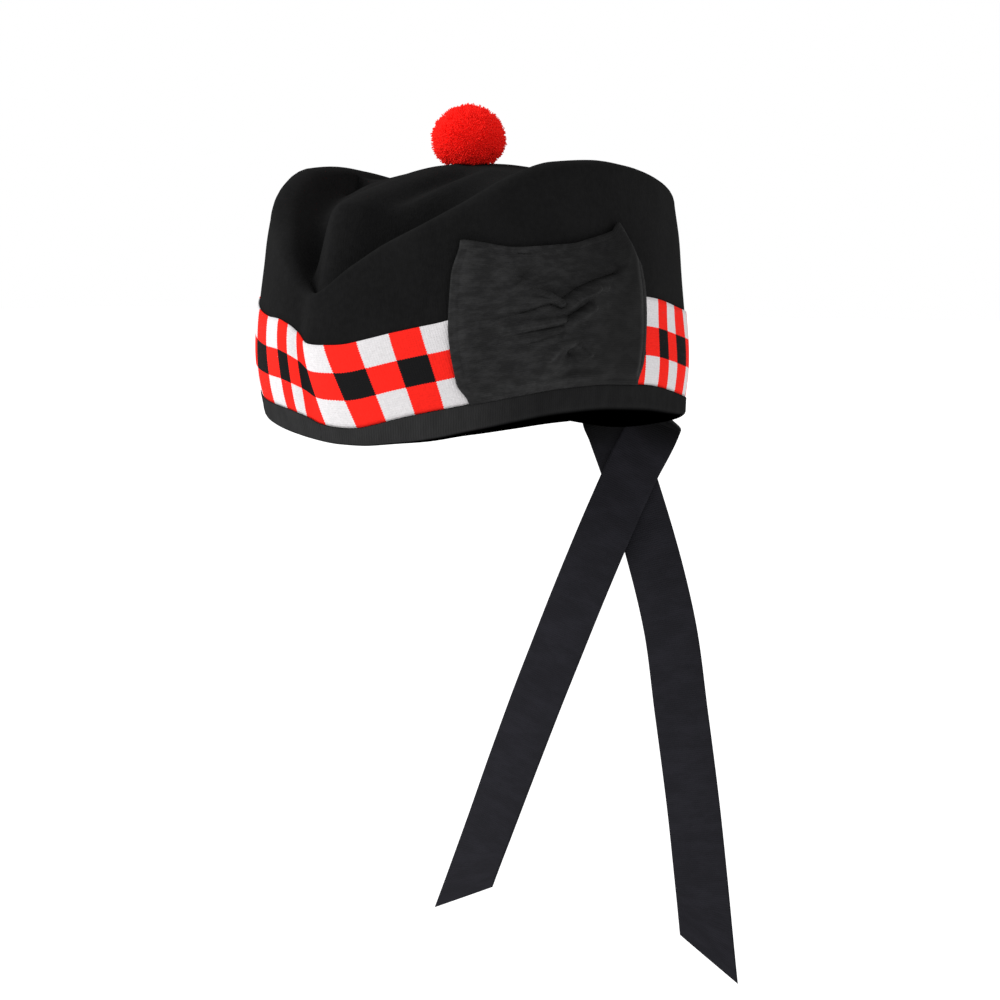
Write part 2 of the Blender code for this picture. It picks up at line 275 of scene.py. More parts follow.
# Folds and creases of the silk, shares of its half width and half height; high in metres, wide
# in half widths
FOLDS = (
    Fold(-0.92, -0.11, -0.62, -0.11, 0.0007, 0.070),
    Fold(-0.62, -0.10, -0.11, -0.11, 0.0013, 0.040),
    Fold(-0.68, -0.18, -0.42, -0.18, -0.0003, 0.035),
    Fold(-0.42, -0.18, -0.11, -0.17, -0.0007, 0.028),
    Fold(-0.66, 0.05, -0.47, 0.08, -0.0003, 0.035),
    Fold(-0.47, 0.08, -0.24, 0.15, -0.0007, 0.026),
    Fold(-0.60, 0.12, -0.22, 0.22, 0.0008, 0.050),
    Fold(-0.24, 0.15, -0.09, 0.04, -0.0008, 0.026),
    Fold(-0.64, 0.62, -0.35, 0.39, 0.0010, 0.050),
    Fold(-0.35, 0.39, -0.11, 0.12, 0.0014, 0.042),
    Fold(-0.06, 0.04, 0.05, 0.17, 0.0016, 0.042),
    Fold(0.05, 0.17, 0.24, 0.27, 0.0016, 0.045),
    Fold(0.24, 0.27, 0.36, 0.28, 0.0010, 0.055),
    Fold(0.36, 0.28, 0.46, 0.25, 0.0005, 0.070),
    Fold(-0.04, -0.14, 0.19, 0.01, 0.0012, 0.050),
    Fold(0.19, 0.01, 0.34, 0.04, 0.0006, 0.070),
    Fold(-0.04, -0.08, 0.15, 0.09, -0.0008, 0.028),
    Fold(-0.04, -0.43, -0.15, -0.43, 0.0014, 0.035),
    Fold(-0.15, -0.43, -0.27, -0.59, 0.0012, 0.040),
    Fold(-0.27, -0.59, -0.32, -0.76, 0.0006, 0.045),
    Fold(-0.03, -0.44, 0.13, -0.60, 0.0012, 0.040),
    Fold(-0.11, -0.27, -0.40, -0.34, -0.0005, 0.030),
    Fold(-0.47, 0.92, 0.07, 0.89, -0.0008, 0.016),
)

# Sides of the flat cloth that lies behind the folds, above and below the gathered middle
Opening = namedtuple("Opening", "up left right")
UPPER_OPENING = (
    Opening(0.08, -0.10, -0.08),
    Opening(0.23, -0.21, 0.07),
    Opening(0.36, -0.36, 0.26),
    Opening(0.46, -0.50, 0.60),
    Opening(0.60, -0.61, 0.72),
    Opening(1.00, -0.61, 0.80),
)
LOWER_OPENING = (
    Opening(-1.00, -0.51, 0.44),
    Opening(-0.77, -0.30, 0.33),
    Opening(-0.55, -0.13, 0.13),
    Opening(-0.40, -0.04, -0.02),
)

# Middle lines of the tails, down as a share of the tail's drop. Side is a share of RIM_WIDTH along
# the tails' plane, lift a share of RIBBON_WIDTH towards the front, turn the ribbon's own turn in
# degrees.
Route = namedtuple("Route", "down side lift turn")
Tail = namedtuple("Tail", "name drop slant seed route")
TAILS = (
    Tail("ribbon_tail_left", 0.242, -0.95, 3.0, (
        Route(0.00, 0.132, 0.00, 24.0),
        Route(0.04, 0.114, 0.02, 24.0),
        Route(0.137, 0.044, 0.06, 24.0),
        Route(0.53, -0.195, 0.05, 18.0),
        Route(1.00, -0.450, 0.06, 4.0),
    )),
    Tail("ribbon_tail_right", 0.266, 1.0, 11.0, (
        Route(0.00, -0.035, -0.08, 24.0),
        Route(0.05, -0.006, -0.08, 24.0),
        Route(0.122, 0.036, -0.07, 24.0),
        Route(0.40, 0.160, -0.07, 24.0),
        Route(0.55, 0.195, -0.03, 28.0),
        Route(0.73, 0.234, -0.02, 26.0),
        Route(1.00, 0.280, -0.05, 26.0),
    )),
)

# Dicing by signed angle: checks counted from the front, and the lean of their sides in checks
# over the height of the band. The first and last rows lie past the back seam.
Dice = namedtuple("Dice", "angle count lean")
DICING = (
    Dice(-200, -26.4, 0.0),
    Dice(-180, -24.15, 0.0),
    Dice(-45, -3.98, 0.0),
    Dice(-32.9, -3.0, 0.0),
    Dice(-21, -2.0, 0.0),
    Dice(-13.3, -1.0, 0.0),
    Dice(-8.5, 0.0, 0.0),
    Dice(-5.0, 1.0, 0.05),
    Dice(-0.2, 2.0, 0.55),
    Dice(9.1, 3.0, 0.60),
    Dice(17.7, 4.0, 0.65),
    Dice(25.3, 5.0, 0.68),
    Dice(32.7, 6.0, 0.70),
    Dice(46, 7.85, 0.70),
    Dice(99.3, 15.0, 0.0),
    Dice(104.5, 16.0, 0.0),
    Dice(110.2, 17.0, 0.0),
    Dice(118.7, 18.0, 0.0),
    Dice(130, 19.6, 0.0),
    Dice(180, 25.85, 0.0),
    Dice(200, 28.1, 0.0),
)


def smooth(share):
    """Ease from 0 to 1."""
    share = min(max(share, 0.0), 1.0)
    return share * share * (3.0 - 2.0 * share)


def through(points, place, straight=False):
    """Height at a place on a smooth curve through (place, height) points that never overshoots.

    The curve is flat at its ends, or runs straight out of the last one where straight is set.
    """
    points = sorted(points)
    places = [point[0] for point in points]
    heights = [point[1] for point in points]
    last = len(points) - 1
    slopes = [(heights[i + 1] - heights[i]) / (places[i + 1] - places[i]) for i in range(last)]
    tangents = [0.0]
    for before, after in zip(slopes, slopes[1:]):
        same_way = before * after > 0.0
        tangents.append(2.0 * before * after / (before + after) if same_way else 0.0)
    tangents.append(slopes[-1] if straight else 0.0)
    place = min(max(place, places[0]), places[last])
    i = 0
    while i < last - 1 and place > places[i + 1]:
        i += 1
    run = places[i + 1] - places[i]
    s = (place - places[i]) / run
    return (
        heights[i] * (1 + 2 * s) * (1 - s) ** 2
        + tangents[i] * run * s * (1 - s) ** 2
        + heights[i + 1] * s * s * (3 - 2 * s)
        - tangents[i + 1] * run * s * s * (1 - s)
    )


@lru_cache(maxsize=None)
def read(table, key, column, place, straight=False):
    """Value of a table's column at a place between its rows."""
    return through([(getattr(row, key), getattr(row, column)) for row in table], place, straight)


def signed(angle):
    """Angle between -180 and 180 degrees, positive on the wearer's left."""
    return (angle + 180.0) % 360.0 - 180.0


def section(angle, column):
    """Value of a section column at an angle in degrees, the same on both sides."""
    return read(SECTIONS, "angle", column, abs(signed(angle)))


def plan_normal(angle):
    """Outward direction of the rim ellipse at an angle."""
    turn = radians(angle)
    return Vector((sin(turn) / HALF_WIDTH, -cos(turn) / HALF_LENGTH, 0.0)).normalized()


def rim_lift(angle):
    """Lift of the rim by LIFTS, apart from its arch."""
    return RIM_RIGHT_LIFT * read(LIFTS, "angle", "share", signed(angle))


def rim_height(angle):
    """Height of the rim line at an angle."""
    return RIM_ARCH * section(angle, "rim") + rim_lift(angle)


def fold_radius(angle):
    """Radius of the ridge, wider on the wearer's right."""
    right = max(-sin(radians(angle)), 0.0)
    return FOLD_RADIUS * section(angle, "fold") * (1.0 + (RIGHT_FOLD - 1.0) * right)


def ridge_height(angle):
    """Height of the ridge at an angle."""
    return RIDGE_HEIGHT * section(angle, "ridge")


def front_share(angle, spread):
    """How much an angle belongs to the front, from 1 there to 0 round the sides."""
    return exp(-((abs(signed(angle)) / spread) ** 1.5))


def binding_top(angle):
    """Height of the binding's upper edge above the rim line."""
    return BINDING_REACH * read(STRIPS, "angle", "binding", signed(angle))


def band_line(angle, share):
    """Height above the rim line at a share of the diced band, from its foot to its top."""
    height = BAND_HEIGHT * read(STRIPS, "angle", "band", signed(angle))
    return binding_top(angle) + GAP + share * height


def wall_point(angle, up, out=0.0):
    """Point of the felt's outer wall, up from the rim line and out from the felt."""
    turn = radians(angle)
    foot = rim_height(angle)
    share = up / (ridge_height(angle) - foot)
    swell = WALL_BULGE * read(BULGES, "height", "out", share)
    flank = exp(-(((signed(angle) - FLANK_ANGLE) / FLANK_SPREAD) ** 2))
    swell += FLANK_BULGE * flank * sin(pi * min(max(share, 0.0), 1.0) ** FLANK_RISE)
    point = Vector((HALF_WIDTH * sin(turn), -HALF_LENGTH * cos(turn), foot + up))
    soft = noise.noise(point * 28.0) * cap().softness * smooth(up / 0.03)
    point += plan_normal(angle) * (swell + out + soft)
    prow = front_share(angle, PROW_SPREAD) * smooth(up / PROW_HEIGHT)
    keel = KEEL_ANGLE + KEEL_LEAN * max(1.0 - up / (BINDING_REACH + BAND_HEIGHT), 0.0)
    crease = exp(-(((signed(angle) - keel) / KEEL_WIDE) ** 2)) * smooth(up / KEEL_FADE)
    point -= plan_normal(angle) * KEEL_DEEP * crease
    return point + Vector((-PROW_SIDE, -PROW_FORWARD, 0.0)) * prow


def column_angle(across):
    """Angle of a mesh column, closer together at the front."""
    turn = 2 * pi * across
    return degrees(turn - FRONT_DENSITY * sin(turn))


def arc_angle(start, distance):
    """Angle reached from a start angle after a distance along the rim ellipse."""
    steps = 40
    angle = start
    for _ in range(steps):
        turn = radians(angle)
        pace = hypot(HALF_WIDTH * cos(turn), HALF_LENGTH * sin(turn))
        angle += degrees(distance / steps / pace)
    return angle


@lru_cache(maxsize=None)
def rim_lengths():
    """Lengths along the rim ellipse from the front, one for each half degree."""
    lengths = [0.0]
    for i in range(720):
        turn = radians((i + 0.5) / 2)
        pace = hypot(HALF_WIDTH * cos(turn), HALF_LENGTH * sin(turn))
        lengths.append(lengths[-1] + pace * radians(0.5))
    return lengths


def rim_length(angle):
    """Length along the rim ellipse from the front to an angle from 0 to 360."""
    lengths = rim_lengths()
    step = min(int(angle * 2), 719)
    return lengths[step] + (lengths[step + 1] - lengths[step]) * (angle * 2 - step)


def cloth_mesh(name, columns, rows, place, measure, welded=False, soft=0.0):
    """Mesh of a cloth from a flat grid.

    A grid vertex goes to place(across, up) and gets measure(across, up) as its place on the
    cloth. A welded cloth is closed round, or closed to a point on its last row. Its folds above
    the share soft are rounded.
    """
    bm = bmesh.new()
    bmesh.ops.create_grid(bm, x_segments=columns, y_segments=rows, size=0.5)
    layer = bm.loops.layers.uv.new("cloth")
    for face in bm.faces:
        for loop in face.loops:
            flat = loop.vert.co
            loop[layer].uv = measure(flat.x + 0.5, flat.y + 0.5)
    rises = [vert.co.y + 0.5 for vert in bm.verts]
    for vert in bm.verts:
        vert.co = place(vert.co.x + 0.5, vert.co.y + 0.5)
    softened = [vert for vert, rise in zip(bm.verts, rises) if soft and rise > soft]
    if welded:
        bmesh.ops.remove_doubles(bm, verts=bm.verts[:], dist=0.00002)
    softened = [vert for vert in softened if vert.is_valid]
    for _ in range(SOFT_ROUNDS if soft else 0):
        bmesh.ops.smooth_vert(
            bm, verts=softened, factor=0.5, use_axis_x=True, use_axis_y=True, use_axis_z=True)
    return to_mesh(bm, name)


def to_mesh(bm, name):
    """Smooth shaded mesh from a finished bmesh."""
    mesh = bpy.data.meshes.new(name)
    bm.to_mesh(mesh)
    bm.free()
    mesh.shade_smooth()
    return mesh


def add_piece(name, mesh, finish, node, thickness=0.0, offset=0.0):
    """Object that rides on the cap and stands for one of its solids."""
    mesh.materials.append(finish)
    piece = bpy.data.objects.new(name, mesh)
    bpy.context.scene.collection.objects.link(piece)
    if thickness:
        shell = piece.modifiers.new("Cloth", 'SOLIDIFY')
        shell.thickness = thickness
        shell.offset = offset
        shell.use_rim = True
    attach(piece, "root")
    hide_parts(node)
    return piece


class Signal:
    """One output of a material's node, with plain arithmetic."""

    def __init__(self, finish, socket):
        self.finish = finish
        self.socket = socket

    def maths(self, operation, *values):
        return self.finish.node(
            "ShaderNodeMath", {"operation": operation}, dict(enumerate(values)))

    def __add__(self, other):
        return self.maths("ADD", self, other)

    def __radd__(self, other):
        return self.maths("ADD", other, self)

    def __sub__(self, other):
        return self.maths("SUBTRACT", self, other)

    def __rsub__(self, other):
        return self.maths("SUBTRACT", other, self)

    def __mul__(self, other):
        return self.maths("MULTIPLY", self, other)

    def __rmul__(self, other):
        return self.maths("MULTIPLY", other, self)

    def __truediv__(self, other):
        return self.maths("DIVIDE", self, other)

    def __gt__(self, other):
        return self.maths("GREATER_THAN", self, other)

    def __lt__(self, other):
        return self.maths("LESS_THAN", self, other)

    def __mod__(self, other):
        return self.maths("FLOORED_MODULO", self, other)

    def __abs__(self):
        return self.maths("ABSOLUTE", self)

    def __floor__(self):
        return self.maths("FLOOR", self)

    def wave(self):
        """Sine of the value in turns."""
        return self.maths("SINE", self * (2 * pi))

    def eased(self, low, high):
        """Ease from 0 at low to 1 at high."""
        return self.finish.node(
            "ShaderNodeMapRange", {"interpolation_type": "SMOOTHSTEP"},
            {0: self, 1: low, 2: high})


class Finish:
    """A material built node by node."""

    def __init__(self, name):
        self.material = bpy.data.materials.new(name)
        self.material.use_nodes = True
        self.tree = self.material.node_tree
        self.tree.nodes.clear()

    def node(self, kind, settings=None, values=None, output=0):
        """Add a node, make its settings, fill or link its sockets and give one output."""
        made = self.tree.nodes.new(kind)
        for name, value in (settings or {}).items():
            setattr(made, name, value)
        for name, value in (values or {}).items():
            if isinstance(value, Signal):
                self.tree.links.new(value.socket, made.inputs[name])
            else:
                made.inputs[name].default_value = value
        return Signal(self, made.outputs[output])

    def place(self):
        return self.node("ShaderNodeTexCoord", output="Object")

    def cloth(self):
        """Place on the cloth and its two parts."""
        flat = self.node("ShaderNodeUVMap", {"uv_map": "cloth"})
        across = self.node("ShaderNodeSeparateXYZ", None, {0: flat}, "X")
        along = self.node("ShaderNodeSeparateXYZ", None, {0: flat}, "Y")
        return flat, across, along

    def stretched(self, place, scale, turn=(0.0, 0.0, 0.0)):
        return self.node("ShaderNodeMapping", None, {
            "Vector": place, "Rotation": turn, "Scale": scale})

    def noise(self, place, scale, detail=2.0, rough=0.5):
        return self.node("ShaderNodeTexNoise", None, {
            "Vector": place, "Scale": scale, "Detail": detail, "Roughness": rough})

    def mix(self, factor, first, second):
        return self.node(
            "ShaderNodeMix", {"data_type": "RGBA"}, {0: factor, 6: first, 7: second}, 2)

    def shade(self, colour, dark, light, amount):
        """Mix of a colour's darker and lighter tones."""
        tones = [(*[part * tone for part in colour], 1.0) for tone in (dark, light)]
        return self.mix(amount, *tones)

    def surface(self, colour, roughness, height, distance, **gloss):
        """Principled surface with its bump; gloss holds its constant sockets."""
        normal = self.node("ShaderNodeBump", None, {"Height": height, "Distance": distance})
        values = {"Base Color": colour, "Roughness": roughness, "Normal": normal}
        values.update({name.replace("_", " "): value for name, value in gloss.items()})
        shader = self.node("ShaderNodeBsdfPrincipled", None, values)
        self.node_end(shader)
        return self.material

    def node_end(self, shader):
        end = self.tree.nodes.new("ShaderNodeOutputMaterial")
        self.tree.links.new(shader.socket, end.inputs["Surface"])


def wool_felt():
    """Milled wool: matted fibres with soft lighter and darker patches."""
    felt = Finish("napped wool felt")
    place = felt.place()
    patches = felt.noise(place, 38.0, 4.0, 0.6)
    mat = felt.noise(place, 420.0, 4.0, 0.65)
    fibres = felt.noise(felt.stretched(place, (1.0, 1.0, 0.22), (0.3, 0.2, 0.0)), 1500.0, 2.0)
    tone = patches.eased(0.3, 0.7) * 0.45 + mat.eased(0.25, 0.8) * 0.55
    colour = felt.shade(cap().felt_colour, 0.78, 1.26, tone)
    height = patches * 0.7 + mat * 0.45 + fibres * 0.4
    return felt.surface(colour, 0.9 + mat * 0.08, height, 0.00045,
                        Specular_IOR_Level=0.0, Sheen_Weight=0.013, Sheen_Roughness=0.6)


def cotton_lining():
    """Black twill that lines the felt."""
    lining = Finish("cotton lining")
    twill = lining.stretched(lining.place(), (1.0, 1.0, 1.6), (0.0, 0.6, 0.0))
    weave = lining.node("ShaderNodeTexWave", {"wave_profile": 'SIN'}, {
        "Vector": twill, "Scale": 420.0, "Distortion": 1.5, "Detail": 2.0})
    colour = lining.shade(cap().lining_colour, 0.7, 1.3, weave)
    return lining.surface(colour, 0.9, weave, 0.0001, Specular_IOR_Level=0.0)


def diced_wool():
    """Knitted checks of red, white and black in three rows, with stitched edges."""
    knit = Finish("diced wool")
    flat, across, up = knit.cloth()
    sizes = cap()
    stitches = float(sizes.stitches)
    loops = abs((across * stitches) % 1.0 - 0.5)
    wander = knit.noise(knit.stretched(flat, (3.0, 6.0, 1.0)), 5.0, 2.0) - 0.5
    steps = abs((up * stitches + loops * 0.8) % 1.0 - 0.5)
    column = floor(across + (steps - 0.25) * 0.06 + wander * 0.04)
    row = floor(up + (loops - 0.25) * 0.05 + wander * 0.03)
    odd = column % 2.0
    middle = (row > 0.5) * (row < 1.5)
    red = (*sizes.check_red, 1.0)
    outer = knit.mix(odd, (*sizes.check_white, 1.0), red)
    inner = knit.mix(odd, red, (*sizes.check_black, 1.0))
    checks = knit.mix(middle, outer, inner)
    fuzz = knit.noise(knit.place(), 900.0, 3.0, 0.6)
    # Partly painted shade that darkens the checks by place in each stitch row, partly random
    # lighter fuzz in the wool's tone
    stitch_shade_and_fuzz = 0.86 + steps * 0.12 + fuzz.eased(0.3, 0.8) * 0.12
    colour = knit.node(
        "ShaderNodeVectorMath", {"operation": "SCALE"}, {0: checks, "Scale": stitch_shade_and_fuzz})
    height = steps * 0.6 + loops * 0.5 + fuzz * 0.7
    return knit.surface(
        colour, 0.85 + fuzz * 0.1, height, 0.00025, Specular_IOR_Level=0.02)


def ribbed(name, colour, pitch, gloss, rough, depth, streaks, patch, dark):
    """Ribbed cloth: fine ribs across the ribbon with small flaws and soft streaks.

    Dark takes the places across and along the cloth and gives how far painted shade blackens it
    there.
    """
    cloth = Finish(name)
    flat, across, along = cloth.cloth()
    wander = cloth.noise(cloth.stretched(flat, (90.0, 30.0, 1.0)), 6.0, 3.0)
    ribs = (along / pitch + wander * 0.8).wave() * 0.5 + 0.5
    thread = cloth.noise(cloth.stretched(flat, (900.0, 160.0, 1.0)), 4.0, 2.0)
    patches = cloth.noise(cloth.stretched(flat, (1.0, 2.2, 1.0)), patch, 5.0, 0.7)
    tone = patches.eased(0.38, 0.66) * streaks + ribs * (0.55 * (1.0 - streaks)) + thread * 0.3
    tinted = cloth.shade(colour, 1.0 - streaks * 0.6, 1.0 + streaks * 0.9, tone)
    # Painted shade: the cloth is mixed towards black as far as dark says
    tinted = cloth.mix(dark(across, along), tinted, (0.0, 0.0, 0.0, 1.0))
    height = ribs + thread * 0.35
    return cloth.surface(
        tinted, rough + patches * 0.12, height, depth, Specular_IOR_Level=gloss)


def toorie_wool():
    """Cut wool yarn, with painted shade darker towards the heart of the ball and a faint painted
    glow in its own colour.
    """
    wool = Finish("toorie wool")
    place = wool.place()
    centre = toorie_centre()
    away = wool.node("ShaderNodeVectorMath", {"operation": "DISTANCE"},
                     {0: place, 1: centre}, "Value")
    outer = away.eased(TOORIE_DIAMETER * 0.30, TOORIE_DIAMETER * 0.45)
    strands = wool.noise(place, 700.0, 3.0, 0.6)
    # Painted shade: the colour falls to 38 percent towards the heart of the ball
    colour = wool.shade(cap().toorie_colour, 0.38, 1.0, outer * 0.8 + strands * 0.25)
    # Painted light: a faint emission in the wool's own colour, though the ball is no lamp
    return wool.surface(
        colour, 0.9, strands, 0.0003, Specular_IOR_Level=0.03,
        Emission_Color=(*cap().toorie_colour, 1.0), Emission_Strength=0.055)


class CapSettings(bpy.types.PropertyGroup):
    """Sizes and colours of the cap's cloths."""

    softness: FloatProperty(
        name="Softness", description="How far the felt wanders in and out", default=0.0011,
        min=0.0, max=0.004, subtype='DISTANCE', unit='LENGTH')
    stitches: IntProperty(
        name="Stitches", description="Knitted stitches over one check", default=12, min=3, max=16)
    felt_colour: FloatVectorProperty(
        name="Felt", description="Colour of the wool felt", default=(0.0082, 0.0082, 0.0083),
        min=0.0, max=1.0, subtype='COLOR')
    lining_colour: FloatVectorProperty(
        name="Lining", description="Colour of the lining", default=(0.0022, 0.0022, 0.0024),
        min=0.0, max=1.0, subtype='COLOR')
    binding_colour: FloatVectorProperty(
        name="Binding", description="Colour of the rim's ribbon", default=(0.0235, 0.0235, 0.0238),
        min=0.0, max=1.0, subtype='COLOR')
    silk_colour: FloatVectorProperty(
        name="Silk", description="Colour of the cockade", default=(0.0138, 0.0138, 0.0140),
        min=0.0, max=1.0, subtype='COLOR')
    tail_colour: FloatVectorProperty(
        name="Tails", description="Colour of the ribbon tails", default=(0.0097, 0.0094, 0.0124),
        min=0.0, max=1.0, subtype='COLOR')
    check_red: FloatVectorProperty(
        name="Red Checks", description="Colour of the red checks", default=(0.90, 0.021, 0.014),
        min=0.0, max=1.0, subtype='COLOR')
    check_white: FloatVectorProperty(
        name="White Checks", description="Colour of the white checks", default=(0.68, 0.66, 0.67),
        min=0.0, max=1.0, subtype='COLOR')
    check_black: FloatVectorProperty(
        name="Black Checks", description="Colour of the black checks",
        default=(0.0095, 0.0095, 0.0098), min=0.0, max=1.0, subtype='COLOR')
    toorie_colour: FloatVectorProperty(
        name="Toorie", description="Colour of the wool ball", default=(1.0, 0.021, 0.015),
        min=0.0, max=1.0, subtype='COLOR')
    toorie_strands: IntProperty(
        name="Strands", description="Cut yarn ends of the toorie", default=4200, min=500, max=6000)
    rib_pitch: FloatProperty(
        name="Rib Pitch", description="Distance between the ribs of the ribbons", default=0.0010,
        min=0.0003, max=0.003, subtype='DISTANCE', unit='LENGTH')


def cap():
    """The cap's settings."""
    return bpy.context.scene.glengarry


def crown_line(angle):
    """Places and heights of the crown's line from the ridge's inner side to its middle."""
    return [
        (section(angle, "groove_at"), MOUND_HEIGHT * section(angle, "groove")),
        (section(angle, "shoulder_at"), MOUND_HEIGHT * section(angle, "shoulder")),
        (0.0, MOUND_HEIGHT),
    ]


def body_point(angle, rise):
    """Point of the felt by angle and by share of the way from rim over ridge to crown middle."""
    fold = fold_radius(angle)
    base = ridge_height(angle) - fold
    if rise <= WALL_END:
        return wall_point(angle, rise / WALL_END * (base - rim_height(angle)))
    edge = wall_point(angle, base - rim_height(angle))
    reach = hypot(edge.x, edge.y)
    turn = radians(FOLD_SWEEP * min((rise - WALL_END) / (FOLD_END - WALL_END), 1.0))
    share = 1.0 - fold * (1.0 - cos(turn)) / reach
    height = base + fold * sin(turn)
    if rise > FOLD_END:
        curve = [(share, height)] + crown_line(angle)
        share *= 1.0 - (rise - FOLD_END) / (1.0 - FOLD_END)
        height = through(curve, share)
    point = Vector((edge.x * share, edge.y * share, height))
    inside = smooth((rise - FOLD_END) / 0.1) * smooth((1.0 - rise) / 0.1)
    relief = noise.noise(point * 30.0) * cap().softness
    for pleat in PLEATS:
        relief += ridge_relief(pleat, point.x, point.y)
    return point + Vector((0.0, 0.0, relief * inside))


def crown_height(x, y):
    """Height of the mound near its middle."""
    angle = degrees(atan2(x, -y)) % 360.0
    edge = wall_point(angle, ridge_height(angle) - fold_radius(angle) - rim_height(angle))
    return through(crown_line(angle), hypot(x, y) / hypot(edge.x, edge.y))


class GLENGARRY_OT_felt_body(bpy.types.Operator):
    """Felt wall with its ridges, grooves and mound, hollow and open below"""

    bl_idname = "glengarry.felt_body"
    bl_label = "Felt Body"

    def execute(self, context):
        mesh = cloth_mesh(
            "felt_body", 288, 112, lambda across, up: body_point(column_angle(across), up),
            lambda across, up: (across * 0.6, up * 0.2), True, SOFT_FROM)
        body = add_piece("felt_body", mesh, wool_felt(), "crown_body", FELT, -1.0)
        mesh.materials.append(cotton_lining())
        body.modifiers["Cloth"].material_offset = 1
        return {'FINISHED'}


def check_place(angle, share):
    """Place on the dicing, in checks round the band and rows up it."""
    right = angle > 180.0
    place = angle - 360.0 if right else angle
    lean = read(DICING, "angle", "lean", place) * (share - 0.5)
    return read(DICING, "angle", "count", place) + CHECKS * right + lean, share * BAND_ROWS


class GLENGARRY_OT_dice_band(bpy.types.Operator):
    """Knitted band of checks on the outside of the wall"""

    bl_idname = "glengarry.dice_band"
    bl_label = "Diced Band"

    def execute(self, context):
        def place(across, up):
            angle = column_angle(across)
            edge = smooth(min(up, 1.0 - up) / 0.04)
            return wall_point(angle, band_line(angle, up), GAP * (0.4 + 0.6 * edge))

        mesh = cloth_mesh(
            "diced_wool_band", 432, 20, place,
            lambda across, up: check_place(column_angle(across), up), True)
        band = add_piece(
            "diced_wool_band", mesh, diced_wool(), "dice_band", BAND_CLOTH, 1.0)
        return {'FINISHED'}


class GLENGARRY_OT_rim_binding(bpy.types.Operator):
    """Ribbed ribbon folded round the rim edge, outside and inside"""

    bl_idname = "glengarry.rim_binding"
    bl_label = "Rim Binding"

    def execute(self, context):
        inside = -(FELT + GAP)
        turn_over = GAP * 2 + FELT

        def place(across, up):
            angle = column_angle(across)
            top = binding_top(angle)
            droop = read(DROOPS, "angle", "down", signed(angle))
            if up < BINDING_INSIDE:
                return wall_point(angle, top - (top + droop) * up / BINDING_INSIDE, inside)
            if up > BINDING_OUTSIDE:
                ripple = noise.noise(Vector((across * 260.0, up * 3.0, 0.0))) * 0.00025
                above = top * (up - BINDING_OUTSIDE) / (1.0 - BINDING_OUTSIDE)
                return wall_point(angle, above, GAP + ripple)
            round_way = (up - BINDING_INSIDE) / (BINDING_OUTSIDE - BINDING_INSIDE) * pi
            out = inside + turn_over * (1.0 - cos(round_way)) / 2
            under = turn_over * 0.3 * sin(round_way) + droop * (1.0 + cos(round_way)) / 2
            return wall_point(angle, 0.0, out) - Vector((0.0, 0.0, under))

        width = 2 * BINDING_REACH + turn_over
        mesh = cloth_mesh(
            "rim_ribbon", 432, 30, place,
            lambda across, up: (up * width, rim_length(column_angle(across) % 360.001)), True)
        # Painted shade: the ribbon inside the cap and round under the rim is painted black. Its
        # outside is painted up to 43 percent darker from about 60 degrees round the back to about
        # 230 degrees, as light falling off.
        turns = [rim_length(angle) for angle in (36.0, 60.0, 230.0, 300.0)]

        def dark(across, along):
            left = along.eased(*turns[:2]) * (1.0 - along.eased(*turns[2:]))
            return 1.0 - across.eased(width * 0.52, width * 0.57) * (1.0 - left * 0.43)

        finish = ribbed("binding ribbon", cap().binding_colour, cap().rib_pitch, 0.0, 0.75,
                        0.00010, 0.35, 60.0, dark)
        binding = add_piece(
            "rim_ribbon", mesh, finish, "rim_binding", BINDING_CLOTH, 1.0)
        return {'FINISHED'}


def inside_opening(table, x, y):
    """How far a place lies within the flat cloth of an opening, from 0 outside to 1."""
    if not table[0].up <= y <= table[-1].up:
        return 0.0
    left = read(table, "up", "left", y)
    right = read(table, "up", "right", y)
    soft = 0.06 + 0.30 * smooth((abs(y) - 0.45) / 0.3)
    ends = smooth((1.0 - abs(y)) / 0.25 + (y > 0.0))
    return smooth((x - left) / soft) * smooth((right - x) / soft) * ends


def ridge_relief(fold, x, y):
    """Height that one fold adds at a place."""
    run = Vector((fold.x2 - fold.x1, fold.y2 - fold.y1))
    to = Vector((x - fold.x1, y - fold.y1))
    share = min(max(to.dot(run) / run.length_squared, 0.0), 1.0)
    away = (to - run * share).length / fold.wide
    return fold.high * exp(-away * away)


def silk_relief(x, y):
    """Height of the gathered silk at a place over its lowest lie."""
    behind = max(inside_opening(UPPER_OPENING, x, y), inside_opening(LOWER_OPENING, x, y))
    aside = x - PINCH_AT
    pinch = exp(-((aside / 0.10) ** 2 + (y / 0.32) ** 2))
    level = 0.0042 - 0.0022 * smooth((abs(aside) - 0.15) / 0.5)
    relief = level * (1.0 - behind) - 0.0014 * pinch
    folds = [ridge_relief(fold, x, y) for fold in FOLDS]
    relief += (max(folds) + min(folds)) * FOLD_STRENGTH
    wander = noise.noise(Vector((x * 2.3, y * 2.6, 4.0))) * 0.0007
    fine = noise.noise(Vector((x * 7.0, y * 5.0, 9.0))) * 0.00025
    return max(relief + wander + fine, 0.0)


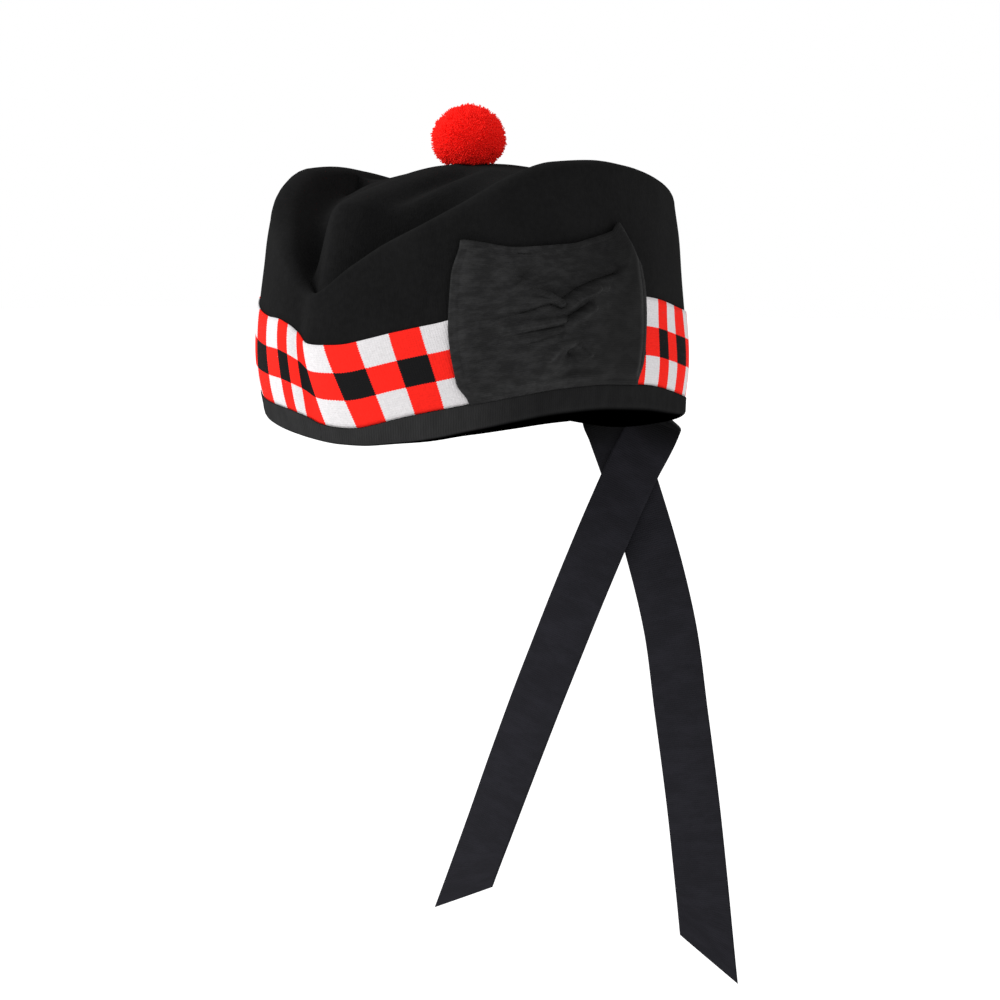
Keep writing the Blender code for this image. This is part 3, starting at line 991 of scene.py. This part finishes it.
class GLENGARRY_OT_cockade(bpy.types.Operator):
    """Ribbed silk gathered at its middle, over the diced band"""

    bl_idname = "glengarry.cockade"
    bl_label = "Cockade"

    def execute(self, context):
        lift = COCKADE_SEAT + 2 * GAP

        def place(across, up):
            y = 2.0 * up - 1.0
            left = read(EDGES, "up", "left", y)
            right = read(EDGES, "up", "right", y)
            x = left + (right - left) * across
            angle = arc_angle(COCKADE_ANGLE, x * COCKADE_WIDTH / 2)
            near = min(1.0 - abs(2.0 * across - 1.0), 1.0 - abs(y))
            hem = 0.0003 * (1.0 - smooth((near - 0.05) / 0.02)) * smooth(near / 0.012)
            relief = silk_relief(x, y) * smooth(near / 0.16) + hem
            rise = read(TOPS, "across", "rise", 2.0 * across - 1.0) * smooth(y)
            height = band_line(angle, 0.0) - rim_lift(angle) * up + COCKADE_HEIGHT * (up + rise)
            return wall_point(angle, height, lift + relief)

        mesh = cloth_mesh(
            "silk_cockade", 190, 150, place,
            lambda across, up: (across * COCKADE_WIDTH, up * COCKADE_HEIGHT))
        # Painted shade: the silk is painted up to 62 percent darker across towards its end nearer
        # the back, as light falling off
        finish = ribbed(
            "ribbed silk", cap().silk_colour, 0.0008, 0.08, 0.60, 0.00005, 0.72, 120.0,
            lambda across, along: across.eased(COCKADE_WIDTH * 0.35, COCKADE_WIDTH * 0.85) * 0.62)
        cockade = add_piece(
            "silk_cockade", mesh, finish, "cockade", COCKADE_CLOTH, 1.0)
        return {'FINISHED'}


def toorie_centre():
    """Middle of the wool ball, on the front half of the mound."""
    return Vector((0.0, -TOORIE_FORWARD, MOUND_HEIGHT + GAP + TOORIE_DIAMETER / 2 - TOORIE_SINK))


class GLENGARRY_OT_toorie(bpy.types.Operator):
    """Ball of cut wool yarn on the mound"""

    bl_idname = "glengarry.toorie"
    bl_label = "Toorie"

    def execute(self, context):
        chance = random.Random(7)
        count = cap().toorie_strands
        radius = TOORIE_DIAMETER / 2
        centre = toorie_centre()
        golden = pi * (3.0 - sqrt(5.0))
        ball = bmesh.new()
        bmesh.ops.create_icosphere(ball, subdivisions=4, radius=radius * TOORIE_CORE)
        for vert in ball.verts:
            rough = noise.noise(vert.co * 900.0) * 0.0006
            low = 1.0 - 0.12 * smooth(-vert.co.z / radius - 0.15)
            vert.co = vert.co * (1.0 + rough / radius) * low + centre
            vert.co.z = max(vert.co.z, crown_height(vert.co.x, vert.co.y) - GAP)
        lock = bmesh.new()
        for i in range(count):
            height = 1.0 - (2 * i + 1) / count
            ring = sqrt(1.0 - height * height)
            way = Vector((ring * cos(golden * i), ring * sin(golden * i), height))
            size = chance.uniform(0.91, 1.01) + 0.05 * noise.noise(way * 5.0)
            size *= 1.0 - 0.12 * smooth(-height - 0.15)
            tip = centre + Vector((way.x, way.y, way.z * 0.96)) * radius * size
            if tip.z < crown_height(tip.x, tip.y):
                continue
            lean = Vector([chance.gauss(0.0, 0.22) for _ in range(3)])
            length = radius * chance.uniform(0.26, 0.36)
            reach = (way + lean).normalized()
            turn = reach.to_track_quat('Z', 'Y').to_matrix().to_4x4()
            bmesh.ops.create_cone(
                lock, cap_ends=True, segments=5, radius1=0.00040,
                radius2=chance.uniform(0.00014, 0.00030), depth=length,
                matrix=Matrix.Translation(tip - reach * length / 2) @ turn)
            if (i + 1) % LOCK_BATCH == 0 or i == count - 1:
                mesh = to_mesh(lock, "lock")
                ball.from_mesh(mesh)
                bpy.data.meshes.remove(mesh)
                lock = bmesh.new()
        lock.free()
        mesh = to_mesh(ball, "wool_toorie")
        add_piece("wool_toorie", mesh, toorie_wool(), "toorie")
        return {'FINISHED'}


def seat_point(side, height, away=0.0):
    """Point on the outside of the binding at the back, a distance left of the back seam."""
    angle = arc_angle(180.0, -side)
    out = GAP + BINDING_CLOTH + GAP + RIBBON_CLOTH / 2 + away
    return wall_point(angle, height - rim_height(angle), out)


def tail_point(tail, down, v):
    """Point of a ribbon tail by share of its drop and by distance from its middle line."""
    turn = radians(TAILS_TURN)
    plane = Vector((cos(turn), sin(turn), 0.0))
    front = Vector((sin(turn), -cos(turn), 0.0))
    hang = seat_point(0.0, 0.0)
    top = rim_height(180.0) + BINDING_REACH - TAIL_TOP_INSET
    step = 0.01
    low, high = max(down - step, 0.0), min(down + step, 1.0)
    side = read(tail.route, "down", "side", down, True) * RIM_WIDTH
    ahead = read(tail.route, "down", "side", high, True)
    run = (ahead - read(tail.route, "down", "side", low, True)) * RIM_WIDTH
    lean = Vector((run, (high - low) * tail.drop)).normalized()
    lift = read(tail.route, "down", "lift", down) * RIBBON_WIDTH
    own = radians(read(tail.route, "down", "turn", down))
    free = smooth(down * tail.drop / TAIL_BEND)
    across_way = Vector((cos(own), sin(own), 0.0))
    end = tail.slant * v * smooth((down - 1.0 + TAIL_END) / TAIL_END)
    height = top - down * tail.drop + v * lean.x - end * lean.y
    wave = noise.noise(Vector((v * 30.0, down * 7.0, tail.seed))) * 0.0009 * smooth(down / 0.2)
    cup = (v / RIBBON_WIDTH) ** 2 * 0.0016 * smooth(down / 0.25)
    loose = hang + plane * (side + end * lean.x) + across_way * (v * lean.y)
    loose += front * (lift + wave - cup)
    loose.z = height
    return seat_point(side + v * lean.y, height, max(-lift, 0.0)).lerp(loose, free)


class GLENGARRY_OT_ribbon_tails(bpy.types.Operator):
    """Two ribbons that lie on the back of the binding and hang free below it"""

    bl_idname = "glengarry.ribbon_tails"
    bl_label = "Ribbon Tails"

    def execute(self, context):
        # Painted shadow: the top of each tail is painted up to 92 percent darker, fading out from
        # 8 to 26 mm below its top, as the cap's shadow
        finish = ribbed(
            "tail ribbon", cap().tail_colour, cap().rib_pitch, 0.08, 0.6, 0.00006, 0.5, 50.0,
            lambda across, along: along.eased(-0.026, -0.008) * 0.92)
        for tail in TAILS:
            steps = [tail_point(tail, j / 100, 0.0) for j in range(101)]
            length = sum((b - a).length for a, b in zip(steps, steps[1:]))
            mesh = cloth_mesh(
                tail.name + "_ribbon", 24, 240,
                lambda across, up: tail_point(tail, 1.0 - up, (across - 0.5) * RIBBON_WIDTH),
                lambda across, up: (across * RIBBON_WIDTH, (up - 1.0) * length))
            ribbon = add_piece(
                tail.name + "_ribbon", mesh, finish, tail.name, RIBBON_CLOTH)
        return {'FINISHED'}


def area_light(name, place, aim, size, power):
    """Soft square light."""
    data = bpy.data.lights.new(name, 'AREA')
    data.size = size
    data.energy = power
    light = bpy.data.objects.new(name, data)
    bpy.context.scene.collection.objects.link(light)
    light.location = place
    light.rotation_euler = (Vector(aim) - Vector(place)).to_track_quat('-Z', 'Y').to_euler()


class GLENGARRY_OT_stage(bpy.types.Operator):
    """Pale floor, soft studio light and the camera"""

    bl_idname = "glengarry.stage"
    bl_label = "Stage"

    def execute(self, context):
        scene = context.scene
        bm = bmesh.new()
        bmesh.ops.create_grid(bm, x_segments=8, y_segments=8, size=30.0)
        bmesh.ops.translate(bm, vec=(0.0, 0.0, FLOOR_HEIGHT), verts=bm.verts[:])
        mesh = to_mesh(bm, "studio_floor")
        paper = Finish("studio floor")
        grain = paper.noise(paper.place(), 3.0, 2.0)
        mesh.materials.append(paper.surface(
            paper.shade((0.9, 0.9, 0.9), 0.99, 1.0, grain), 0.9, grain, 0.0001,
            Emission_Color=(1.0, 1.0, 1.0, 1.0), Emission_Strength=0.50))
        floor = bpy.data.objects.new("studio_floor", mesh)
        scene.collection.objects.link(floor)

        world = bpy.data.worlds.new("studio")
        world.use_nodes = True
        nodes, links = world.node_tree.nodes, world.node_tree.links
        sky = nodes["Background"]
        sky.inputs["Color"].default_value = (1.0, 1.0, 1.0, 1.0)
        seen = nodes.new("ShaderNodeLightPath")
        strength = nodes.new("ShaderNodeMapRange")
        strength.inputs["To Min"].default_value = 0.80
        strength.inputs["To Max"].default_value = 1.0
        links.new(seen.outputs["Is Camera Ray"], strength.inputs["Value"])
        links.new(strength.outputs["Result"], sky.inputs["Strength"])
        scene.world = world
        scene.view_settings.view_transform = 'Standard'
        area_light("key", (-0.70, -1.15, 0.75), (0.0, 0.0, 0.04), 0.6, 15.0)

        data = bpy.data.cameras.new("camera")
        data.sensor_width = 36.0
        data.lens = 92.64
        data.shift_x = 0.021
        data.shift_y = -0.069
        camera = bpy.data.objects.new("camera", data)
        scene.collection.objects.link(camera)
        camera.location = (
            DISTANCE * sin(AZIMUTH) * cos(ELEVATION),
            -DISTANCE * cos(AZIMUTH) * cos(ELEVATION),
            DISTANCE * sin(ELEVATION),
        )
        camera.rotation_euler = (pi / 2 - ELEVATION, 0.0, AZIMUTH)
        scene.camera = camera
        return {'FINISHED'}


OPERATORS = (
    GLENGARRY_OT_felt_body,
    GLENGARRY_OT_dice_band,
    GLENGARRY_OT_rim_binding,
    GLENGARRY_OT_cockade,
    GLENGARRY_OT_toorie,
    GLENGARRY_OT_ribbon_tails,
    GLENGARRY_OT_stage,
)


class VIEW3D_PT_glengarry(bpy.types.Panel):
    """Pieces of the cap and their settings"""

    bl_label = "Glengarry"
    bl_space_type = 'VIEW_3D'
    bl_region_type = 'UI'
    bl_category = "Glengarry"

    def draw(self, context):
        for operator in OPERATORS:
            self.layout.operator(operator.bl_idname)
        for name in CapSettings.__annotations__:
            self.layout.prop(context.scene.glengarry, name)


CLASSES = (CapSettings, *OPERATORS, VIEW3D_PT_glengarry)


def register():
    for item in CLASSES:
        bpy.utils.register_class(item)
    bpy.types.Scene.glengarry = PointerProperty(type=CapSettings)


def unregister():
    del bpy.types.Scene.glengarry
    for item in reversed(CLASSES):
        bpy.utils.unregister_class(item)


def main():
    register()
    bpy.ops.glengarry.felt_body()
    bpy.ops.glengarry.dice_band()
    bpy.ops.glengarry.rim_binding()
    bpy.ops.glengarry.cockade()
    bpy.ops.glengarry.toorie()
    bpy.ops.glengarry.ribbon_tails()
    bpy.ops.glengarry.stage()


if __name__ == "__main__":
    main()
